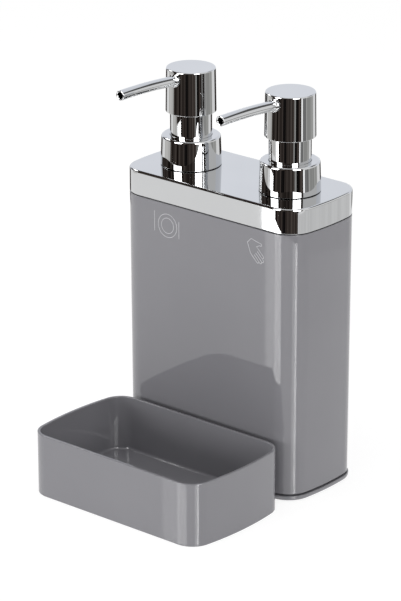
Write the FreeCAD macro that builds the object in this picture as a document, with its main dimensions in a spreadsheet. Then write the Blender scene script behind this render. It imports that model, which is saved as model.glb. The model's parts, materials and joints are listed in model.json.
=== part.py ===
import FreeCAD, Part
import math
import os
import re
import Sketcher
from FreeCAD import Placement, Rotation, Vector

# Twin soap pump caddy: a tank with two screw-on lotion pumps, and a sponge tray that slides on to its base.
# Millimetres, +Z up, front is -Y. The origin is the middle of the face that the caddy stands on.

# The sizes that can be set, each written once
SIZES = {
    # Tank: straight front and back, bowed ends, round corners, a little narrower at the foot
    "tank_width": 130.4,
    "tank_depth": 60.6,
    "tank_corner": 15.3,
    "tank_end": 160.0,
    "tank_height": 154.4,
    "tank_draft": 0.7,
    "tank_wall": 2.0,
    "tank_floor": 2.2,
    "tank_skirt": 2.8,
    "partition_wall": 1.8,
    "partition_gap": 0.4,
    # Base plate under the tank, with a plinth in the tank's skirt and a tongue for the tray
    "flange_height": 2.9,
    "flange_overhang": 0.65,
    "flange_round": 1.8,
    "seam_gap": 1.0,
    "plinth_clearance": 0.2,
    "tongue_width": 60.0,
    "tongue_length": 58.0,
    "tongue_thickness": 2.0,
    "tongue_corner": 6.0,
    # Rubber pad let into the underside of the base
    "pad_inset": 8.0,
    "pad_recess": 0.8,
    "pad_proud": 0.4,
    "pad_clearance": 0.3,
    # Chrome lid, its lip inside the tank and the gasket in the seam
    "lid_gap": 0.6,
    "gasket_inset": 0.7,
    "lid_height": 14.35,
    "lid_round": 1.2,
    "lid_plate": 2.2,
    "lip_clearance": 0.2,
    "lip_wall": 1.4,
    "lip_depth": 7.0,
    # Sponge tray
    "tray_width": 128.1,
    "tray_depth": 76.3,
    "tray_corner": 12.65,
    "tray_end": 185.0,
    "tray_height": 37.2,
    "tray_wall": 1.8,
    "tray_floor": 1.8,
    "tray_foot": 2.8,
    "tray_gap": 4.1,
    "tray_inside_round": 1.6,
    "tray_foot_round": 0.7,
    "tray_rim_round": 0.5,
    "rail_wall": 1.6,
    "rail_clearance": 0.4,
    # Threaded necks on the lid and the collars that screw on to them
    "pump_spacing": 72.4,
    "neck_diameter": 24.6,
    "neck_bore": 21.0,
    "neck_ridge": 1.0,
    "thread_lead": 4.2,
    "thread_clearance": 0.3,
    "collar_gap": 0.3,
    "collar_height": 17.25,
    "collar_foot_diameter": 34.8,
    "collar_top_diameter": 33.6,
    "collar_round": 1.4,
    "collar_web": 2.2,
    "collar_ridge": 0.75,
    "collar_hole_clearance": 0.08,
    # Pump cylinder, hung in the neck by its flange
    "neck_gasket_thickness": 1.2,
    "neck_gasket_clearance": 0.3,
    "flange_clearance": 0.15,
    "housing_flange": 1.6,
    "housing_diameter": 17.0,
    "housing_wall": 1.5,
    "chaplet_flange": 1.6,
    "hub_height": 8.0,
    "spigot_length": 7.0,
    "fit_clearance": 0.05,
    # Moving piston, stem and return spring
    "press_stroke": 12.0,
    "piston_gap": 0.3,
    "piston_length": 9.0,
    "piston_socket": 6.0,
    "piston_port": 3.0,
    "stem_diameter": 8.0,
    "stem_bore": 4.0,
    "stem_clearance": 0.08,
    "spring_wire": 1.0,
    "spring_diameter": 10.4,
    "spring_length": 28.0,
    "spring_seat_gap": 0.1,
    # Inlet valve and dip tube
    "ball_diameter": 5.0,
    "ball_room": 8.4,
    "ball_room_depth": 7.0,
    "ball_gap": 0.2,
    "inlet_diameter": 3.6,
    "inlet_length": 2.0,
    "dip_tube_diameter": 6.0,
    "dip_tube_wall": 0.8,
    "dip_socket_depth": 9.0,
    "dip_socket_wall": 1.4,
    "dip_tube_rise": 5.0,
    # Chrome sleeve, push head and its core
    "sleeve_diameter": 23.8,
    "sleeve_wall": 1.2,
    "sleeve_cover": 2.3,
    "head_gap": 14.0,
    "head_height": 25.4,
    "head_diameter": 28.0,
    "head_flare": 0.4,
    "head_bore": 25.2,
    "head_plate": 1.6,
    "head_round": 0.7,
    "core_room": 0.7,
    "core_boss_diameter": 12.0,
    "core_boss_length": 9.0,
    "core_socket": 8.0,
    # Spout: a tube bent to one gentle arc, highest near its tip
    "spout_diameter": 5.8,
    "spout_bore": 3.8,
    "spout_reach": 59.5,
    "spout_apex": 54.0,
    "spout_bend": 430.0,
    "spout_drop": 3.3,
    "spout_root": 5.0,
    "spout_clearance": 0.1,
    "spout_ring": 0.7,
    "spout_ring_length": 1.1,
    "cut_overrun": 1.0,
}

# Turns of each wound form
THREAD_TURNS = 1.5
COLLAR_TURNS = 1.25
SPRING_TURNS = 7
ARCS_PER_TURN = 4

# Levels and sizes that follow from the ones above
DERIVED = {
    "flange_top": "pad_proud + flange_height",
    "tank_bottom": "flange_top + seam_gap",
    "tank_top": "tank_bottom + tank_height",
    "floor_bottom": "tank_bottom + tank_skirt",
    "floor_top": "floor_bottom + tank_floor",
    "floor_inset": "tank_wall + tank_draft * (tank_top - floor_top) / tank_height",
    "foot_inset": "tank_draft + tank_wall",
    "lip_inset": "tank_wall + lip_clearance",
    "lid_bottom": "tank_top + lid_gap",
    "lid_top": "lid_bottom + lid_height",
    "lid_ceiling": "lid_top - lid_plate",
    "lip_bottom": "lid_bottom - lip_depth",
    "partition_top": "lip_bottom - partition_gap",
    "partition_length": "tank_depth - tank_wall - tank_draft",
    "tray_floor_top": "tray_foot + tray_floor",
    "tray_middle": "tank_depth / 2 + tray_gap + tray_depth / 2",
    "collar_bottom": "lid_top + collar_gap",
    "collar_top": "collar_bottom + collar_height",
    "web_bottom": "collar_top - collar_web",
    "chaplet_seat": "web_bottom - chaplet_flange",
    "housing_seat": "chaplet_seat - housing_flange",
    "neck_top": "housing_seat - neck_gasket_thickness",
    "neck_radius": "neck_diameter / 2",
    "collar_bore_radius": "neck_radius + neck_ridge + thread_clearance",
    "pump_flange_radius": "collar_bore_radius - collar_ridge - flange_clearance",
    "thread_start": "lid_top + neck_ridge + collar_gap",
    "housing_radius": "housing_diameter / 2",
    "barrel_radius": "housing_radius - housing_wall",
    "spigot_bottom": "chaplet_seat - spigot_length",
    "piston_top": "spigot_bottom - piston_gap",
    "piston_bottom": "piston_top - piston_length",
    "stem_bottom": "piston_top - piston_socket",
    "spring_seat": "piston_bottom - spring_length",
    "ball_seat": "spring_seat - ball_room_depth",
    "cone_top": "ball_seat + ball_room / 2 - inlet_diameter / 2",
    "tube_top": "ball_seat - inlet_length",
    "housing_bottom": "tube_top - dip_socket_depth",
    "socket_radius": "dip_tube_diameter / 2 + fit_clearance",
    "sleeve_radius": "sleeve_diameter / 2",
    "head_bottom": "collar_top + head_gap",
    "head_top": "head_bottom + head_height",
    "head_ceiling": "head_top - head_plate",
    "sleeve_top": "head_bottom + sleeve_cover",
    "core_bottom": "sleeve_top + press_stroke + core_room",
    "boss_bottom": "core_bottom - core_boss_length",
    "stem_top": "boss_bottom + core_socket",
    "spout_axis": "head_top - spout_drop - spout_bend",
    "spout_radius": "spout_diameter / 2",
    "ring_start": "head_diameter / 2 + head_flare",
    "ring_height": "spout_axis + sqrt(spout_bend ^ 2 - (spout_apex - ring_start) ^ 2)",
}

# How near two levels must be to count as one
SAME_LEVEL = 1e-4
# An arc that bends less than this is drawn as a straight line
STRAIGHT = 1e-9

doc = FreeCAD.newDocument("SoapPumpCaddy")
sheet = doc.addObject("Spreadsheet::Sheet", "Sizes")
for row, (name, number) in enumerate(SIZES.items(), start=1):
    sheet.set(f"A{row}", name)
    sheet.set(f"B{row}", str(number))
    sheet.setAlias(f"B{row}", name)
for row, (name, formula) in enumerate(DERIVED.items(), start=len(SIZES) + 1):
    sheet.set(f"A{row}", name)
    sheet.set(f"B{row}", "=" + formula)
    sheet.setAlias(f"B{row}", name)
doc.recompute()

SIZE_NAME = re.compile(r"[a-z][a-z_]+")


def bound(text):
    """The expression, with each size taken from the sheet."""
    return SIZE_NAME.sub(lambda word: "Sizes." + word.group(), str(text))


def value(text):
    """What an expression of sizes comes to now."""
    return float(doc.Sizes.evalExpression(str(text)))


parts = {}


def add_part(label, thing):
    """Name a finished sub-part, which also names its file."""
    thing.Label = label
    parts[label] = thing
    return thing


def move(thing, x="0", y="0", z="0"):
    """Bind a sub-part's place to the sheet."""
    for axis, text in zip("xyz", (x, y, z)):
        thing.setExpression(f".Placement.Base.{axis}", bound(text))


def new_body(name):
    return doc.addObject("PartDesign::Body", name + "_body")


def new_sketch(body, name, plane="XY_Plane", level="0"):
    """A sketch on one of the body's own planes, raised to a level along the plane's normal."""
    sketch = body.newObject("Sketcher::SketchObject", name)
    support = [item for item in body.Origin.OriginFeatures if item.Role == plane]
    sketch.AttachmentSupport = [(support[0], "")]
    sketch.MapMode = "FlatFace"
    sketch.setExpression(".AttachmentOffset.Base.z", bound(level))
    return sketch


def dimension(sketch, kind, places, text):
    """Add one dimension to a sketch and bind it to an expression of sizes."""
    index = sketch.addConstraint(Sketcher.Constraint(kind, *places, value(text)))
    name = f"size{index}"
    sketch.renameConstraint(index, name)
    sketch.setExpression(f"Constraints.{name}", bound(text))


# A sketch counts its axes down from -1, and the points of a curve up from 1
X_AXIS, Y_AXIS = range(-1, -3, -1)
START, END, CENTRE = range(1, 4)
ORIGIN = (X_AXIS, START)


def draw_circle(sketch, radius, x="0", y="0"):
    """A circle, its radius and middle bound to sizes."""
    middle = Vector(value(x), value(y), 0)
    index = sketch.addGeometry(Part.Circle(middle, Vector(0, 0, 1), value(radius)))
    dimension(sketch, "Radius", (index,), radius)
    for kind, text, axis in (("DistanceX", x, Y_AXIS), ("DistanceY", y, X_AXIS)):
        if text == "0":
            sketch.addConstraint(Sketcher.Constraint("PointOnObject", index, CENTRE, axis))
        else:
            dimension(sketch, kind, (*ORIGIN, index, CENTRE), text)


def draw_polygon(sketch, points):
    """A closed outline of straight lines through points given as pairs of expressions."""
    places = [Vector(value(x), value(y), 0) for x, y in points]
    first = sketch.GeometryCount
    count = len(places)
    for index in range(count):
        sketch.addGeometry(Part.LineSegment(places[index], places[(index + 1) % count]))
    for index in range(count):
        line, following = first + index, first + (index + 1) % count
        sketch.addConstraint(Sketcher.Constraint("Coincident", line, END, following, START))
    for index, (x, y) in enumerate(points):
        for kind, text, axis in (("DistanceX", x, Y_AXIS), ("DistanceY", y, X_AXIS)):
            if text == "0":
                constraint = Sketcher.Constraint("PointOnObject", first + index, START, axis)
                sketch.addConstraint(constraint)
            else:
                dimension(sketch, kind, (*ORIGIN, first + index, START), text)


def draw_rectangle(sketch, left, right, front, back):
    draw_polygon(sketch, [(left, front), (right, front), (right, back), (left, back)])


def draw_outline(sketch, family, inset="0"):
    """The plan of tank and tray: straight front and back, ends bowed to an arc, round corners."""
    half_width = f"({family}_width / 2 - ({inset}))"
    half_depth = f"({family}_depth / 2 - ({inset}))"
    corner = f"({family}_corner - ({inset}))"
    end = f"({family}_end - ({inset}))"
    reach, depth, radius, bow = value(half_width), value(half_depth), value(corner), value(end)
    end_x = reach - bow
    corner_y = depth - radius
    corner_x = end_x + math.sqrt((bow - radius) ** 2 - corner_y ** 2)
    spread = math.atan2(corner_y, corner_x - end_x)
    up = Vector(0, 0, 1)

    def arc(x, y, size, start, finish):
        return Part.ArcOfCircle(Part.Circle(Vector(x, y, 0), up, size), start, finish)

    quarter = math.pi / 2
    curves = (
        Part.LineSegment(Vector(-corner_x, -depth, 0), Vector(corner_x, -depth, 0)),
        arc(corner_x, -corner_y, radius, -quarter, -spread),
        arc(end_x, 0, bow, -spread, spread),
        arc(corner_x, corner_y, radius, spread, quarter),
        Part.LineSegment(Vector(corner_x, depth, 0), Vector(-corner_x, depth, 0)),
        arc(-corner_x, corner_y, radius, quarter, math.pi - spread),
        arc(-end_x, 0, bow, math.pi - spread, math.pi + spread),
        arc(-corner_x, -corner_y, radius, math.pi + spread, 3 * quarter),
    )
    first = sketch.GeometryCount
    for curve in curves:
        sketch.addGeometry(curve)
    front, right_front, right, right_back, back, left_back, left, left_front = range(first, first + 8)
    ring = (front, right_front, right, right_back, back, left_back, left, left_front)
    for curve, following in zip(ring, ring[1:] + ring[:1]):
        sketch.addConstraint(Sketcher.Constraint("Tangent", curve, END, following, START))
    for line in (front, back):
        sketch.addConstraint(Sketcher.Constraint("Horizontal", line))
    for other in (right_back, left_back, left_front):
        sketch.addConstraint(Sketcher.Constraint("Equal", right_front, other))
    sketch.addConstraint(Sketcher.Constraint("Equal", right, left))
    for curve in (right, left):
        sketch.addConstraint(Sketcher.Constraint("PointOnObject", curve, CENTRE, X_AXIS))
    dimension(sketch, "Radius", (right_front,), corner)
    dimension(sketch, "Radius", (right,), end)
    dimension(sketch, "DistanceX", (right, CENTRE, *ORIGIN), f"{end} - {half_width}")
    dimension(sketch, "DistanceX", (*ORIGIN, left, CENTRE), f"{end} - {half_width}")
    dimension(sketch, "DistanceY", (front, START, *ORIGIN), half_depth)
    dimension(sketch, "DistanceY", (*ORIGIN, back, START), half_depth)


def extrude(body, kind, name, sketch, length, reverse=False):
    """A Pad or a Pocket of a given length, which must change the body's volume."""
    before = body.Tip.Shape.Volume if body.Tip else 0
    feature = body.newObject("PartDesign::" + kind, name)
    feature.Profile = sketch
    feature.Reversed = reverse
    feature.setExpression("Length", bound(length))
    doc.recompute()
    check_change(feature, kind == "Pad", before)
    return feature


def loft(body, kind, name, lower, upper):
    """An AdditiveLoft or SubtractiveLoft between two sketches."""
    before = body.Tip.Shape.Volume if body.Tip else 0
    feature = body.newObject("PartDesign::" + kind, name)
    feature.Profile = lower
    feature.Sections = [upper]
    feature.Ruled = True
    doc.recompute()
    check_change(feature, kind == "AdditiveLoft", before)
    return feature


def check_change(feature, adds, before):
    """Stop if a feature that should add or cut did neither."""
    grown = feature.Shape.Volume - before
    if (grown <= 0) if adds else (grown >= 0):
        raise RuntimeError(f"{feature.Name} changes nothing")


def flat_edges(feature, level, radius=None):
    """Names of a feature's edges that lie at a level, all of them or only circles of one radius."""
    height = value(level)
    names = []
    for number, edge in enumerate(feature.Shape.Edges, start=1):
        box = edge.BoundBox
        if max(abs(box.ZMin - height), abs(box.ZMax - height)) > SAME_LEVEL:
            continue
        if radius is not None and abs(edge.Curve.Radius - value(radius)) > SAME_LEVEL:
            continue
        names.append(f"Edge{number}")
    return names


def upright_edges(feature, x, y):
    """Names of a feature's straight upright edges at plus and minus x, and at y."""
    names = []
    for number, edge in enumerate(feature.Shape.Edges, start=1):
        box = edge.BoundBox
        off_x = abs(abs(box.Center.x) - value(x))
        off_y = abs(box.Center.y - value(y))
        if max(off_x, off_y, box.XLength, box.YLength) < SAME_LEVEL:
            names.append(f"Edge{number}")
    return names


def round_edges(body, name, feature, edges, radius):
    if not edges:
        raise RuntimeError(f"{name} finds no edge to round")
    fillet = body.newObject("PartDesign::Fillet", name)
    fillet.Base = (feature, edges)
    fillet.setExpression("Radius", bound(radius))
    doc.recompute()
    return fillet


def turned(label, points):
    """A body turned about its own Z axis from a profile of (radius, level) pairs."""
    body = new_body(label)
    sketch = new_sketch(body, label + "_profile", "XZ_Plane")
    draw_polygon(sketch, points)
    feature = body.newObject("PartDesign::Revolution", label + "_turned")
    feature.Profile = sketch
    feature.ReferenceAxis = (sketch, ["V_Axis"])
    feature.Angle = 360
    doc.recompute()
    check_change(feature, True, 0)
    return body


def ring_points(inner, outer, bottom, top):
    return [(inner, bottom), (outer, bottom), (outer, top), (inner, top)]


# A tilt about X to begin with, so that its angle can be bound
TILT = Rotation(Vector(1, 0, 0), 1)


def along_spout(body, kind, name, radii, near, far):
    """Turn circles about the spout's bend axis, from one distance out from the pump to another."""
    before = body.Tip.Shape.Volume if body.Tip else 0
    angles = [f"asin((Sizes.spout_apex - ({bound(place)})) / Sizes.spout_bend)" for place in (near, far)]
    sketch = new_sketch(body, name + "_section", "XZ_Plane", "spout_apex")
    sketch.AttachmentOffset = Placement(Vector(0, 0, 0), TILT)
    sketch.setExpression(".AttachmentOffset.Base.y", bound("spout_axis"))
    sketch.setExpression(".AttachmentOffset.Rotation.Angle", "-" + angles[0])
    for radius in radii:
        draw_circle(sketch, radius, y="spout_bend")
    feature = body.newObject("PartDesign::" + kind, name)
    feature.Profile = sketch
    feature.ReferenceAxis = (sketch, ["H_Axis"])
    feature.setExpression("Angle", f"{angles[0]} - {angles[1]}")
    doc.recompute()
    check_change(feature, kind == "Revolution", before)
    return feature


def quarter_arc(start, heading, finish):
    """The arc from one point, along a heading, to another point."""
    chord = finish - start
    along = Vector(chord).normalize()
    side = heading - along * heading.dot(along)
    bend = math.atan2(side.Length, heading.dot(along))
    if side.Length < STRAIGHT:
        return Part.LineSegment(start, finish).toShape()
    rise = chord.Length / 2 * math.tan(bend / 2)
    crown = start + chord / 2 + side.normalize() * rise
    return Part.Arc(start, crown, finish).toShape()


def coil(radius, lead, turns, bottom, section):
    """A round wire wound along a helix: a pipe on pairs of tangent arcs."""

    def place(turn):
        angle = 2 * math.pi * turn
        return Vector(radius * math.cos(angle), radius * math.sin(angle), bottom + lead * turn)

    def heading(turn):
        angle = 2 * math.pi * turn
        climb = lead / (2 * math.pi)
        return Vector(-radius * math.sin(angle), radius * math.cos(angle), climb).normalize()

    steps = round(turns * ARCS_PER_TURN)
    stops = [turns * step / steps for step in range(steps + 1)]
    edges = []
    for low, high in zip(stops, stops[1:]):
        start, finish = place(low), place(high)
        out, home = heading(low), heading(high)
        span, both = finish - start, out + home
        spread = 2 * (1 - out.dot(home))
        reach = span.dot(both)
        handle = (math.sqrt(reach ** 2 + spread * span.dot(span)) - reach) / spread
        meeting = (start + finish + (out - home) * handle) / 2
        edges.append(quarter_arc(start, out, meeting))
        second = quarter_arc(finish, -home, meeting)
        edges.append(second.reversed())
    path = Part.Wire(edges)
    circle = Part.Wire([Part.makeCircle(section, place(0), heading(0))])
    return path.makePipeShell([circle], True, False)


def add_coil(name, *sizes):
    """A coil as a document object; it keeps the local frame of the piece that it belongs to."""
    thing = doc.addObject("Part::Feature", name)
    thing.Shape = coil(*sizes)
    return thing


def fuse(name, pieces):
    """Join a body and its ridges. Refining is left off, because it spoils the ridges' faces."""
    joined = doc.addObject("Part::MultiFuse", name + "_joined")
    joined.Refine = False
    joined.Shapes = pieces
    doc.recompute()
    return joined


def make_tank():
    body = new_body("tank")
    foot = new_sketch(body, "tank_foot", level="tank_bottom")
    draw_outline(foot, "tank", "tank_draft")
    mouth = new_sketch(body, "tank_mouth", level="tank_top")
    draw_outline(mouth, "tank")
    loft(body, "AdditiveLoft", "tank_walls", foot, mouth)
    floor = new_sketch(body, "cavity_floor", level="floor_top")
    draw_outline(floor, "tank", "floor_inset")
    opening = new_sketch(body, "cavity_mouth", level="tank_top")
    draw_outline(opening, "tank", "tank_wall")
    loft(body, "SubtractiveLoft", "tank_cavity", floor, opening)
    skirt = new_sketch(body, "tank_skirt_inside", level="tank_bottom")
    draw_outline(skirt, "tank", "foot_inset")
    extrude(body, "Pocket", "tank_skirt_recess", skirt, "tank_skirt", reverse=True)
    middle = new_sketch(body, "partition_plan", level="floor_bottom")
    half_wall, half_length = "partition_wall / 2", "partition_length / 2"
    draw_rectangle(middle, f"-{half_wall}", half_wall, f"-{half_length}", half_length)
    extrude(body, "Pad", "partition", middle, "partition_top - floor_bottom")
    add_part("tank_shell", body)


def make_base():
    body = new_body("base")
    plan = new_sketch(body, "flange_plan", level="pad_proud")
    draw_outline(plan, "tank", "tank_draft - flange_overhang")
    flange = extrude(body, "Pad", "flange", plan, "flange_height")
    round_edges(body, "flange_edge", flange, flat_edges(flange, "pad_proud"), "flange_round")
    plug = new_sketch(body, "plinth_plan", level="flange_top")
    draw_outline(plug, "tank", "foot_inset + plinth_clearance")
    extrude(body, "Pad", "plinth", plug, "floor_bottom - flange_top")
    tongue = new_sketch(body, "tongue_plan", level="pad_proud")
    half, tip = "tongue_width / 2", "-(tank_depth / 2 + tongue_length)"
    draw_rectangle(tongue, f"-{half}", half, tip, "-(tank_depth / 2 - flange_round - tank_draft)")
    tongue_pad = extrude(body, "Pad", "tongue", tongue, "tongue_thickness")
    round_edges(body, "tongue_tip", tongue_pad, upright_edges(tongue_pad, half, tip), "tongue_corner")
    recess = new_sketch(body, "pad_recess_plan", level="pad_proud")
    draw_outline(recess, "tank", "pad_inset")
    extrude(body, "Pocket", "pad_recess_cut", recess, "pad_recess", reverse=True)
    add_part("base_plate", body)


def make_pad():
    body = new_body("pad")
    plan = new_sketch(body, "pad_plan")
    draw_outline(plan, "tank", "pad_inset + pad_clearance")
    extrude(body, "Pad", "pad_sheet", plan, "pad_proud + pad_recess")
    add_part("antislip_pad", body)


def make_lid_gasket():
    body = new_body("lid_gasket")
    plan = new_sketch(body, "lid_gasket_plan", level="tank_top")
    draw_outline(plan, "tank", "gasket_inset")
    draw_outline(plan, "tank", "tank_wall")
    extrude(body, "Pad", "lid_gasket_ring", plan, "lid_gap")
    add_part("lid_gasket", body)


def make_lid():
    body = new_body("lid")
    plan = new_sketch(body, "lid_plan", level="lid_bottom")
    draw_outline(plan, "tank")
    block = extrude(body, "Pad", "lid_block", plan, "lid_height")
    round_edges(body, "lid_edge", block, flat_edges(block, "lid_top"), "lid_round")
    inside = new_sketch(body, "lid_inside", level="lid_bottom")
    draw_outline(inside, "tank", "lip_inset + lip_wall")
    extrude(body, "Pocket", "lid_hollow", inside, "lid_ceiling - lid_bottom", reverse=True)
    lip = new_sketch(body, "lip_plan", level="lip_bottom")
    draw_outline(lip, "tank", "lip_inset")
    draw_outline(lip, "tank", "lip_inset + lip_wall")
    extrude(body, "Pad", "lip", lip, "lip_depth")
    necks = new_sketch(body, "neck_plan", level="lid_ceiling")
    for sign in ("-", ""):
        draw_circle(necks, "neck_radius", x=f"{sign}pump_spacing / 2")
    extrude(body, "Pad", "necks", necks, "neck_top - lid_ceiling")
    bores = new_sketch(body, "neck_bores", level="neck_top")
    for sign in ("-", ""):
        draw_circle(bores, "neck_bore / 2", x=f"{sign}pump_spacing / 2")
    extrude(body, "Pocket", "neck_bore_cut", bores, "neck_top - lid_ceiling + cut_overrun")
    ridges = []
    for side, sign in SIDES:
        ridge = add_coil(
            side + "_neck_ridge",
            value("neck_radius"),
            value("thread_lead"),
            THREAD_TURNS,
            value("thread_start"),
            value("neck_ridge"),
        )
        move(ridge, x=f"{sign}pump_spacing / 2")
        ridges.append(ridge)
    add_part("lid_cover", fuse("lid", [body] + ridges))


def make_tray():
    body = new_body("tray")
    plan = new_sketch(body, "tray_plan")
    draw_outline(plan, "tray")
    block = extrude(body, "Pad", "tray_block", plan, "tray_height")
    foot = round_edges(body, "tray_foot_edge", block, flat_edges(block, "0"), "tray_foot_round")
    inside = new_sketch(body, "tray_inside", level="tray_floor_top")
    draw_outline(inside, "tray", "tray_wall")
    well_depth = "tray_height - tray_floor_top"
    well = extrude(body, "Pocket", "tray_well", inside, well_depth, reverse=True)
    corner = flat_edges(well, "tray_floor_top")
    bowl = round_edges(body, "tray_bowl", well, corner, "tray_inside_round")
    round_edges(body, "tray_rim", bowl, flat_edges(bowl, "tray_height"), "tray_rim_round")
    under = new_sketch(body, "tray_under")
    draw_outline(under, "tray", "tray_wall")
    extrude(body, "Pocket", "tray_under_cut", under, "tray_foot", reverse=True)
    gate = "(tongue_width / 2 + rail_clearance)"
    notch = new_sketch(body, "tray_notch_plan")
    inner, outer = "(tray_depth / 2 - tray_wall - cut_overrun)", "(tray_depth / 2 + cut_overrun)"
    draw_rectangle(notch, f"-{gate}", gate, inner, outer)
    extrude(body, "Pocket", "tray_notch", notch, "tray_foot", reverse=True)
    rails = new_sketch(body, "tray_rail_plan", level="pad_proud")
    end = "tray_depth / 2 - tray_wall / 2"
    for low, high in ((f"-({gate} + rail_wall)", f"-{gate}"), (gate, f"{gate} + rail_wall")):
        draw_rectangle(rails, low, high, f"-({end})", end)
    extrude(body, "Pad", "tray_rails", rails, "tray_foot + tray_floor / 2 - pad_proud")
    move(body, y="-tray_middle")
    add_part("sponge_tray", body)


def make_collar(side, x):
    foot, top = "collar_foot_diameter / 2", "collar_top_diameter / 2"
    hole = "sleeve_radius + collar_hole_clearance"
    profile = [
        ("collar_bore_radius", "collar_bottom"),
        (foot, "collar_bottom"),
        (top, "collar_top"),
        (hole, "collar_top"),
        (hole, "web_bottom"),
        ("collar_bore_radius", "web_bottom"),
    ]
    body = turned(side + "_collar", profile)
    shoulder = flat_edges(body.Tip, "collar_top", top)
    round_edges(body, side + "_collar_edge", body.Tip, shoulder, "collar_round")
    # The collar's ridge runs half a lead above the neck's, so that the two threads stay clear of each other
    ridge = add_coil(
        side + "_collar_ridge",
        value("collar_bore_radius"),
        value("thread_lead"),
        COLLAR_TURNS,
        value("thread_start + thread_lead / 2"),
        value("collar_ridge"),
    )
    collar = add_part(side + "_collar", fuse(side + "_collar", [body, ridge]))
    move(collar, x=x)


def make_pump(side, x):
    """The pieces of one pump that are turned about its axis."""
    stem_hole = "stem_diameter / 2 + stem_clearance"
    stem_socket = "stem_diameter / 2 + fit_clearance"
    spigot = "barrel_radius - fit_clearance"
    tube_socket = "socket_radius + dip_socket_wall"
    foot, top = "head_diameter / 2 + head_flare", "head_diameter / 2"
    stem, bore = "stem_diameter / 2", "stem_bore / 2"
    inner_sleeve = "sleeve_radius - sleeve_wall"
    tube = "dip_tube_diameter / 2"
    profiles = {
        "guide_sleeve": ring_points(inner_sleeve, "sleeve_radius", "web_bottom", "sleeve_top"),
        "neck_gasket": ring_points(
            "housing_radius + neck_gasket_clearance", "neck_radius", "neck_top", "housing_seat"
        ),
        "chaplet": [
            (stem_hole, "spigot_bottom"),
            (spigot, "spigot_bottom"),
            (spigot, "chaplet_seat"),
            ("pump_flange_radius", "chaplet_seat"),
            ("pump_flange_radius", "web_bottom"),
            (f"{inner_sleeve} - fit_clearance", "web_bottom"),
            (f"{inner_sleeve} - fit_clearance", "web_bottom + hub_height"),
            (stem_hole, "web_bottom + hub_height"),
        ],
        "housing": [
            ("barrel_radius", "spring_seat"),
            ("barrel_radius", "chaplet_seat"),
            ("pump_flange_radius", "chaplet_seat"),
            ("pump_flange_radius", "housing_seat"),
            ("housing_radius", "housing_seat"),
            ("housing_radius", "ball_seat"),
            (tube_socket, "tube_top"),
            (tube_socket, "housing_bottom"),
            ("socket_radius", "housing_bottom"),
            ("socket_radius", "tube_top"),
            ("inlet_diameter / 2", "tube_top"),
            ("inlet_diameter / 2", "ball_seat"),
            ("ball_room / 2", "cone_top"),
            ("ball_room / 2", "spring_seat"),
        ],
        "piston": [
            ("piston_port / 2", "piston_bottom"),
            (spigot, "piston_bottom"),
            (spigot, "piston_top"),
            (stem_socket, "piston_top"),
            (stem_socket, "stem_bottom"),
            ("piston_port / 2", "stem_bottom"),
        ],
        "stem": ring_points(bore, stem, "stem_bottom", "stem_top"),
        "dip_tube": ring_points(
            f"{tube} - dip_tube_wall", tube, "floor_top + dip_tube_rise", "tube_top"
        ),
        "head_shell": [
            ("head_bore / 2", "head_bottom"),
            (foot, "head_bottom"),
            (top, "head_top"),
            ("0", "head_top"),
            ("0", "head_ceiling"),
            ("head_bore / 2", "head_ceiling"),
        ],
        "head_core": [
            (stem_socket, "boss_bottom"),
            ("core_boss_diameter / 2", "boss_bottom"),
            ("core_boss_diameter / 2", "core_bottom"),
            ("head_bore / 2 - fit_clearance", "core_bottom"),
            ("head_bore / 2 - fit_clearance", "head_ceiling"),
            ("0", "head_ceiling"),
            ("0", "head_top - spout_drop"),
            (bore, "head_top - spout_drop"),
            (bore, "stem_top"),
            (stem_socket, "stem_top"),
        ],
    }
    for piece, profile in profiles.items():
        label = f"{side}_{piece}"
        body = add_part(label, turned(label, profile))
        if piece == "head_shell":
            rim = flat_edges(body.Tip, "head_top", top)
            round_edges(body, label + "_edge", body.Tip, rim, "head_round")
        if piece in ("head_shell", "head_core"):
            hole = ["spout_radius + spout_clearance"]
            outside = "ring_start + cut_overrun"
            along_spout(body, "Groove", label + "_spout_hole", hole, "spout_root", outside)
        if piece == "head_core":
            channel = ["spout_bore / 2"]
            along_spout(body, "Groove", label + "_channel", channel, "0", "spout_root + cut_overrun")
        move(body, x=x)


def make_spout(side, x):
    label = side + "_spout"
    body = add_part(label, new_body(label))
    walls = ["spout_radius", "spout_bore / 2"]
    along_spout(body, "Revolution", label + "_tube", walls, "spout_root", "spout_reach")
    ring = new_sketch(body, label + "_ring_plan", "XZ_Plane", "ring_start")
    draw_circle(ring, "spout_radius + spout_ring", y="ring_height")
    draw_circle(ring, "(spout_radius + spout_bore / 2) / 2", y="ring_height")
    extrude(body, "Pad", label + "_ring", ring, "spout_ring_length")
    move(body, x=x)


def make_valve(side, x):
    ball = add_part(side + "_inlet_ball", doc.addObject("Part::Sphere", side + "_ball"))
    ball.setExpression("Radius", bound("ball_diameter / 2"))
    # The ball touches a 45 degree cone, so its middle stands its radius times root two above the cone's point
    cone_point = "ball_seat - inlet_diameter / 2"
    middle = f"{cone_point} + ball_diameter / 2 * {math.sqrt(2)} + ball_gap"
    move(ball, x=x, z=middle)
    wire, gap = value("spring_wire"), value("spring_seat_gap")
    height = value("spring_length") - wire - 2 * gap
    lead = height / SPRING_TURNS
    bottom = value("spring_seat") + wire / 2 + gap
    sizes = (value("spring_diameter / 2"), lead, SPRING_TURNS, bottom, wire / 2)
    spring = add_part(side + "_spring", add_coil(side + "_coil", *sizes))
    move(spring, x=x)
    print(f"{side} spring: gap between turns {lead - wire:.2f}")


SIDES = (("left", "-"), ("right", ""))
make_base()
make_pad()
make_tank()
make_lid_gasket()
make_lid()
make_tray()
for side, sign in SIDES:
    pump_x = f"{sign}pump_spacing / 2"
    make_collar(side, pump_x)
    make_pump(side, pump_x)
    make_spout(side, pump_x)
    make_valve(side, pump_x)
doc.recompute()

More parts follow.
